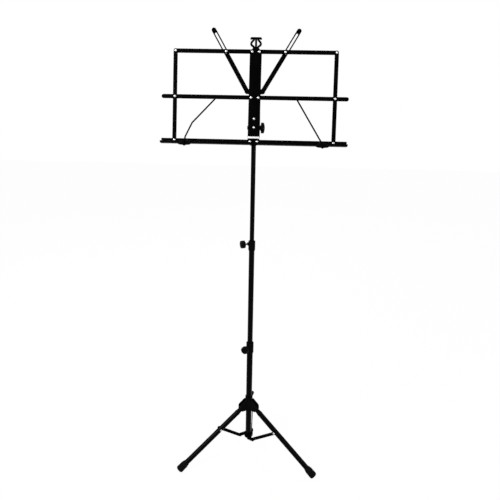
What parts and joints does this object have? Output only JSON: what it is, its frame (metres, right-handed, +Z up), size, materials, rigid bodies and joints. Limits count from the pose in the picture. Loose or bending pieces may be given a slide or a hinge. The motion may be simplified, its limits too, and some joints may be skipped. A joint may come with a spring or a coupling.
{
  "type": "folding music stand",
  "caption": "Folding music stand: slotted-arm wire desk on a telescopic post with clamp knobs, tilting head and a collapsible strutted tripod.",
  "frame": {"origin": "on the floor at the middle of the footprint of the open stand; the post stands 58.3 mm toward the player from it", "axes": "+Z up; the player stands on the -Y side, facing +Y; +X is to the player's right"},
  "size_m": [0.492, 0.3755, 1.2864],
  "materials": {
    "black_steel": "satin black powder coat",
    "black_plastic": "moulded, satin",
    "black_rubber": "matt",
    "nickel": "nickel plate",
    "zinc": "zinc plate"
  },
  "bodies": {
    "post": {"lower_tube": "black_steel", "tube_plug": "black_plastic", "lower_collar": "black_plastic", "bottom_bracket": "black_steel"},
    "lower_clamp": {"lower_clamp_knob": "black_plastic", "lower_clamp_screw": "black_steel"},
    "strut_1": {"strut_1": "black_steel"},
    "strut_2": {"strut_2": "black_steel"},
    "strut_3": {"strut_3": "black_steel"},
    "leg_1": {"leg_1": "black_steel", "foot_1": "black_rubber"},
    "leg_2": {"leg_2": "black_steel", "foot_2": "black_rubber"},
    "leg_3": {"leg_3": "black_steel", "foot_3": "black_rubber"},
    "hub": {"tripod_hub": "black_plastic"},
    "hub_clamp": {"hub_clamp_knob": "black_plastic", "hub_clamp_screw": "black_steel"},
    "middle_section": {"middle_tube": "black_steel", "middle_collar": "black_plastic"},
    "middle_clamp": {"middle_clamp_knob": "black_plastic", "middle_clamp_screw": "black_steel"},
    "upper_section": {"upper_rod": "black_steel", "tilt_block": "black_plastic"},
    "desk": {"spine": "black_steel", "inner_bracket": "zinc", "ledge_plate": "black_steel", "arm_yoke": "black_steel", "tilt_bolt": "nickel", "pivot_rivet_top_left": "nickel", "pivot_rivet_middle_left": "nickel", "pivot_rivet_ledge_left": "nickel", "pivot_rivet_top_right": "nickel", "pivot_rivet_middle_right": "nickel", "pivot_rivet_ledge_right": "nickel"},
    "tilt_clamp": {"tilt_knob": "black_plastic"},
    "top_bar_left": {"top_bar_left": "black_steel", "arm_pin_left": "nickel"},
    "middle_bar_left": {"middle_bar_left": "black_steel"},
    "ledge_left": {"ledge_left": "black_steel", "page_clip_left": "black_plastic"},
    "side_bar_left": {"side_bar_left": "black_steel", "side_rivet_ledge_left": "nickel", "side_rivet_middle_left": "nickel", "side_rivet_top_left": "nickel"},
    "slotted_arm_left": {"slotted_arm_left": "black_steel"},
    "page_wire_left": {"page_wire_left": "black_steel"},
    "top_bar_right": {"top_bar_right": "black_steel", "arm_pin_right": "nickel"},
    "middle_bar_right": {"middle_bar_right": "black_steel"},
    "ledge_right": {"ledge_right": "black_steel", "page_clip_right": "black_plastic"},
    "side_bar_right": {"side_bar_right": "black_steel", "side_rivet_ledge_right": "nickel", "side_rivet_middle_right": "nickel", "side_rivet_top_right": "nickel"},
    "slotted_arm_right": {"slotted_arm_right": "black_steel"},
    "page_wire_right": {"page_wire_right": "black_steel"}
  },
  "joints": [
    {"name": "tripod_fold", "type": "hinge", "parent": "post", "child": "strut_1", "pos_m": [-0.02079, -0.07033, 0.054], "axis": [-0.5, 0.866, 0], "range_deg": [0, 49]},
    {"name": "leg_1_rivet", "type": "hinge", "parent": "strut_1", "child": "leg_1", "pos_m": [-0.08712, -0.10863, 0.1099], "axis": [0.5, -0.866, 0], "range_deg": [0, 98]},
    {"name": "leg_1_pivot", "type": "hinge", "parent": "leg_1", "child": "hub", "pos_m": [-0.02079, -0.07033, 0.1658], "axis": [-0.5, 0.866, 0], "range_deg": [0, 49]},
    {"name": "leg_2_pivot", "type": "hinge", "parent": "hub", "child": "leg_2", "pos_m": [0.02079, -0.07033, 0.1658], "axis": [0.5, 0.866, 0], "range_deg": [0, 49]},
    {"name": "strut_2_pivot", "type": "hinge", "parent": "post", "child": "strut_2", "pos_m": [0.02079, -0.07033, 0.054], "axis": [-0.5, -0.866, 0], "range_deg": [0, 49]},
    {"name": "leg_3_pivot", "type": "hinge", "parent": "hub", "child": "leg_3", "pos_m": [0, -0.03433, 0.1658], "axis": [-1, 0, 0], "range_deg": [0, 49]},
    {"name": "strut_3_pivot", "type": "hinge", "parent": "post", "child": "strut_3", "pos_m": [0, -0.03433, 0.054], "axis": [1, 0, 0], "range_deg": [0, 49]},
    {"name": "hub_clamp_turn", "type": "hinge", "parent": "hub", "child": "hub_clamp", "pos_m": [0, -0.05833, 0.1915], "axis": [0.2419, 0.9703, 0], "continuous": true},
    {"name": "middle_slide", "type": "slide", "parent": "post", "child": "middle_section", "axis": [0, 0, 1], "range_m": [-0.28, 0.01]},
    {"name": "lower_clamp_turn", "type": "hinge", "parent": "post", "child": "lower_clamp", "pos_m": [0, -0.05833, 0.38], "axis": [-0.515, -0.8572, 0], "continuous": true},
    {"name": "upper_slide", "type": "slide", "parent": "middle_section", "child": "upper_section", "axis": [0, 0, 1], "range_m": [-0.25, 0.05]},
    {"name": "middle_clamp_turn", "type": "hinge", "parent": "middle_section", "child": "middle_clamp", "pos_m": [0, -0.05833, 0.7125], "axis": [-0.9205, -0.3907, 0], "continuous": true},
    {"name": "desk_tilt", "type": "hinge", "parent": "upper_section", "child": "desk", "pos_m": [0, -0.05833, 1.0365], "axis": [-1, 0, 0], "range_deg": [-14, 60]},
    {"name": "tilt_clamp_turn", "type": "hinge", "parent": "desk", "child": "tilt_clamp", "pos_m": [0, -0.05833, 1.0365], "axis": [1, 0, 0], "continuous": true},
    {"name": "wing_fold_left", "type": "hinge", "parent": "desk", "child": "ledge_left", "pos_m": [-0.0095, -0.08074, 1.00241], "axis": [0, 0.9703, -0.2419], "range_deg": [0, 84]},
    {"name": "top_bar_pivot_left", "type": "hinge", "parent": "desk", "child": "top_bar_left", "pos_m": [-0.0095, -0.02474, 1.22703], "axis": [0, 0.9703, -0.2419], "range_deg": [0, 84]},
    {"name": "middle_bar_pivot_left", "type": "hinge", "parent": "desk", "child": "middle_bar_left", "pos_m": [-0.0095, -0.05316, 1.11302], "axis": [0, 0.9703, -0.2419], "range_deg": [0, 84]},
    {"name": "side_bar_pivot_left", "type": "hinge", "parent": "ledge_left", "child": "side_bar_left", "pos_m": [-0.21, -0.08074, 1.00241], "axis": [0, 0.9703, -0.2419], "range_deg": [-84, 0]},
    {"name": "arm_pivot_left", "type": "hinge", "parent": "desk", "child": "slotted_arm_left", "pos_m": [-0.0205, -0.04905, 1.12952], "axis": [0, 0.9703, -0.2419], "range_deg": [0, 31.18]},
    {"name": "page_wire_turn_left", "type": "hinge", "parent": "ledge_left", "child": "page_wire_left", "pos_m": [-0.18, -0.08328, 0.99222], "axis": [0, 0.9703, -0.2419], "range_deg": [-60, 20]},
    {"name": "wing_fold_right", "type": "hinge", "parent": "desk", "child": "ledge_right", "pos_m": [0.0095, -0.08074, 1.00241], "axis": [0, -0.9703, 0.2419], "range_deg": [0, 84]},
    {"name": "top_bar_pivot_right", "type": "hinge", "parent": "desk", "child": "top_bar_right", "pos_m": [0.0095, -0.02474, 1.22703], "axis": [0, -0.9703, 0.2419], "range_deg": [0, 84]},
    {"name": "middle_bar_pivot_right", "type": "hinge", "parent": "desk", "child": "middle_bar_right", "pos_m": [0.0095, -0.05316, 1.11302], "axis": [0, -0.9703, 0.2419], "range_deg": [0, 84]},
    {"name": "side_bar_pivot_right", "type": "hinge", "parent": "ledge_right", "child": "side_bar_right", "pos_m": [0.21, -0.08074, 1.00241], "axis": [0, -0.9703, 0.2419], "range_deg": [-84, 0]},
    {"name": "arm_pivot_right", "type": "hinge", "parent": "desk", "child": "slotted_arm_right", "pos_m": [0.0205, -0.04905, 1.12952], "axis": [0, -0.9703, 0.2419], "range_deg": [0, 31.18]},
    {"name": "page_wire_turn_right", "type": "hinge", "parent": "ledge_right", "child": "page_wire_right", "pos_m": [0.18, -0.08328, 0.99222], "axis": [0, -0.9703, 0.2419], "range_deg": [-60, 20]}
  ],
  "couplings": [
    {"joint": "leg_1_rivet", "follows": "tripod_fold", "ratio": 2},
    {"joint": "leg_1_pivot", "follows": "tripod_fold", "ratio": 1},
    {"joint": "leg_2_pivot", "follows": "tripod_fold", "ratio": 1},
    {"joint": "strut_2_pivot", "follows": "tripod_fold", "ratio": 1},
    {"joint": "leg_3_pivot", "follows": "tripod_fold", "ratio": 1},
    {"joint": "strut_3_pivot", "follows": "tripod_fold", "ratio": 1},
    {"joint": "top_bar_pivot_left", "follows": "wing_fold_left", "ratio": 1},
    {"joint": "middle_bar_pivot_left", "follows": "wing_fold_left", "ratio": 1},
    {"joint": "side_bar_pivot_left", "follows": "wing_fold_left", "ratio": -1},
    {"joint": "arm_pivot_left", "follows": "wing_fold_left", "ratio": 0.37},
    {"joint": "top_bar_pivot_right", "follows": "wing_fold_right", "ratio": 1},
    {"joint": "middle_bar_pivot_right", "follows": "wing_fold_right", "ratio": 1},
    {"joint": "side_bar_pivot_right", "follows": "wing_fold_right", "ratio": -1},
    {"joint": "arm_pivot_right", "follows": "wing_fold_right", "ratio": 0.37}
  ]
}
